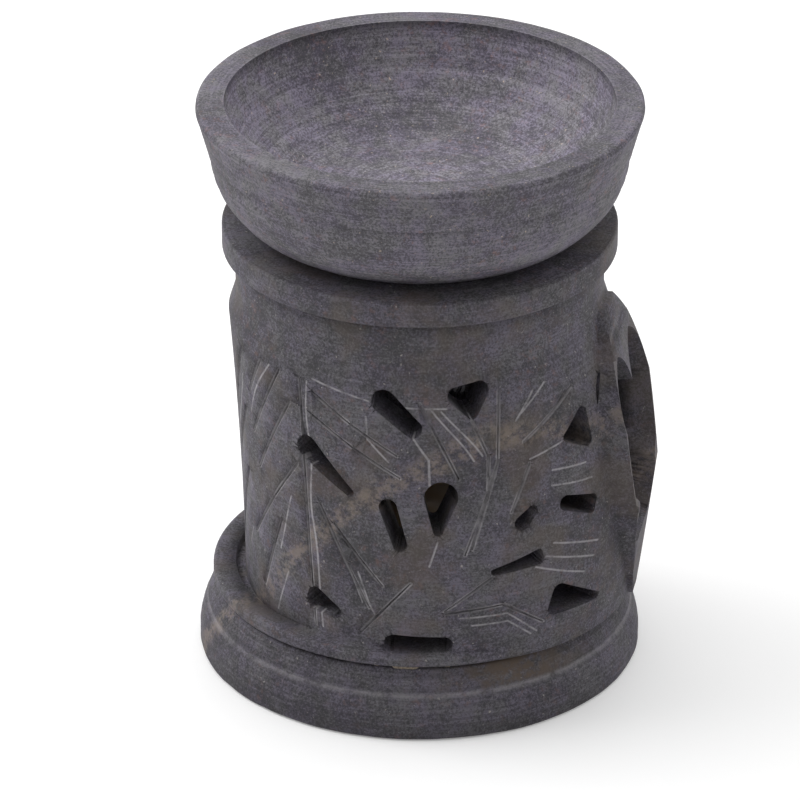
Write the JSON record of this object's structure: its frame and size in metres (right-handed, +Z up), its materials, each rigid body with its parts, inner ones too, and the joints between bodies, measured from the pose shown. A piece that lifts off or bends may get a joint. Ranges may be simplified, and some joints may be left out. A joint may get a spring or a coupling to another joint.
{
  "type": "essential oil burner",
  "caption": "Carved stone oil burner: turned foot, pierced leaf chamber with a lobed side door, lift-off oil dish on a flange and a tea light inside.",
  "frame": {"origin": "centre of the foot's flat underside", "axes": "+Z up along the turned axis, +X towards the lobed door"},
  "size_m": [0.0776, 0.0762, 0.1014],
  "materials": {
    "body_stone": "matt, hand carved",
    "dish_stone": "matt, lathe turned",
    "cement": "rough",
    "cup_metal": "bright pressed",
    "tab_metal": "stamped",
    "wax": "waxy",
    "wick_cotton": "braided cotton"
  },
  "bodies": {
    "burner": {"foot": "body_stone", "joint_cement": "cement", "pierced_chamber": "body_stone"},
    "dish": {"oil_dish": "dish_stone"},
    "tealight": {"tealight_cup": "cup_metal", "tealight_wax": "wax", "wick_tab": "tab_metal", "tealight_wick": "wick_cotton"}
  },
  "joints": [
    {"name": "dish_lift", "type": "slide", "parent": "burner", "child": "dish", "axis": [0, 0, 1], "range_m": [0, 0.05]},
    {"name": "tealight_lift", "type": "slide", "parent": "burner", "child": "tealight", "axis": [0, 0, 1], "range_m": [0, 0.04]}
  ]
}
